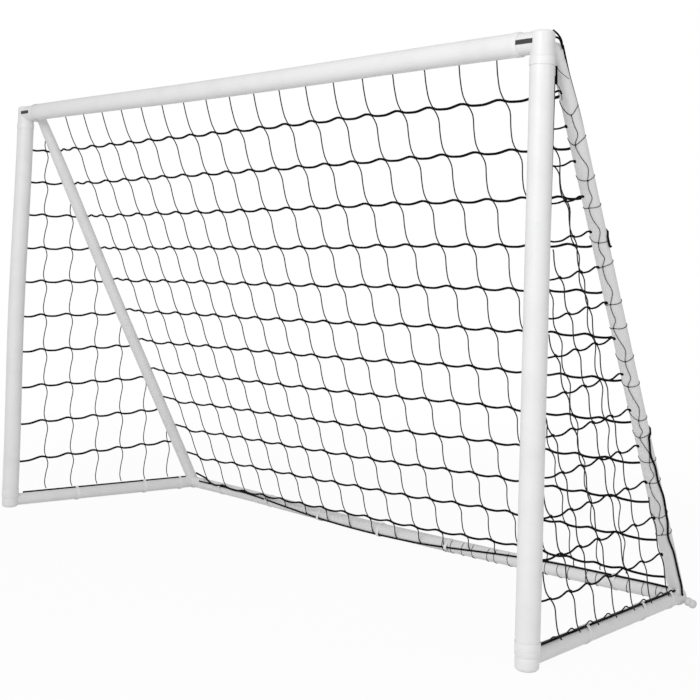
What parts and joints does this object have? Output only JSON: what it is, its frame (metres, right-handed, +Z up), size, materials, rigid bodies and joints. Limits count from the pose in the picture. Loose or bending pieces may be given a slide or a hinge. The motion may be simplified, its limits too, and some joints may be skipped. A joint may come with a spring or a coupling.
{
  "type": "inflatable goal",
  "caption": "Small inflatable football goal with round air tubes, moulded corner pieces, an air valve and a roped net that slopes back to the ground.",
  "frame": {"origin": "middle of the footprint, on the ground", "axes": "+Z up, -Y out of the mouth towards the players, +X to the right as seen by them"},
  "size_m": [2.5852, 0.9182, 1.5912],
  "materials": {
    "tube_skin": "satin",
    "corner_plastic": "satin",
    "clamp_plastic": "semi-gloss",
    "patch_plastic": "matt",
    "net_twine": "twisted twine",
    "rope_cord": "braided cord",
    "strap_web": "woven hook and loop tape",
    "valve_plastic": "semi-gloss",
    "seal_rubber": "matt",
    "spring_steel": "drawn wire"
  },
  "bodies": {
    "frame": {"crossbar": "tube_skin", "rear_base_tube": "tube_skin", "left_post": "tube_skin", "left_brace": "tube_skin", "left_base_tube": "tube_skin", "left_top_corner": "corner_plastic", "left_foot": "corner_plastic", "left_rear_corner": "corner_plastic", "left_post_top_clamp": "clamp_plastic", "left_post_foot_clamp": "clamp_plastic", "left_crossbar_clamp": "clamp_plastic", "left_patch": "patch_plastic", "net_left_side": "net_twine", "net_left_post_rope": "rope_cord", "net_left_brace_rope": "rope_cord", "net_left_base_rope": "rope_cord", "left_base_strap_1": "strap_web", "left_base_strap_2": "strap_web", "left_base_strap_3": "strap_web", "right_post": "tube_skin", "right_brace": "tube_skin", "right_base_tube": "tube_skin", "right_top_corner": "corner_plastic", "right_foot": "corner_plastic", "right_rear_corner": "corner_plastic", "right_post_top_clamp": "clamp_plastic", "right_post_foot_clamp": "clamp_plastic", "right_crossbar_clamp": "clamp_plastic", "right_patch": "patch_plastic", "net_right_side": "net_twine", "net_right_post_rope": "rope_cord", "net_right_brace_rope": "rope_cord", "net_right_base_rope": "rope_cord", "right_base_strap_1": "strap_web", "right_base_strap_2": "strap_web", "right_base_strap_3": "strap_web", "net_rear": "net_twine", "net_top_rope": "rope_cord", "net_rear_rope": "rope_cord", "rear_strap_1": "strap_web", "rear_strap_2": "strap_web", "rear_strap_3": "strap_web", "rear_strap_4": "strap_web", "rear_strap_5": "strap_web", "rear_strap_6": "strap_web", "rear_strap_7": "strap_web", "valve_body": "valve_plastic", "valve_spring": "spring_steel"},
    "poppet": {"valve_poppet": "valve_plastic", "valve_seal": "seal_rubber"},
    "gasket": {"cap_gasket": "seal_rubber"},
    "cap": {"valve_cap": "valve_plastic"}
  },
  "joints": [
    {"name": "cap_turn", "type": "hinge", "parent": "gasket", "child": "cap", "pos_m": [1.23638, 0.43256, 0.01368], "axis": [0.9659, 0, -0.2588], "range_deg": [0, 720]},
    {"name": "cap_travel", "type": "slide", "parent": "frame", "child": "gasket", "axis": [0.9659, 0, -0.2588], "range_m": [0, 0.004]},
    {"name": "poppet_press", "type": "slide", "parent": "frame", "child": "poppet", "axis": [-0.9659, 0, 0.2588], "range_m": [0, 0.0025], "stiffness_N_per_m": 300, "springref_m": -0.002, "deforming": ["valve_spring"]}
  ],
  "couplings": [
    {"joint": "cap_travel", "follows": "cap_turn", "m_per_rad": 0.00031831}
  ]
}
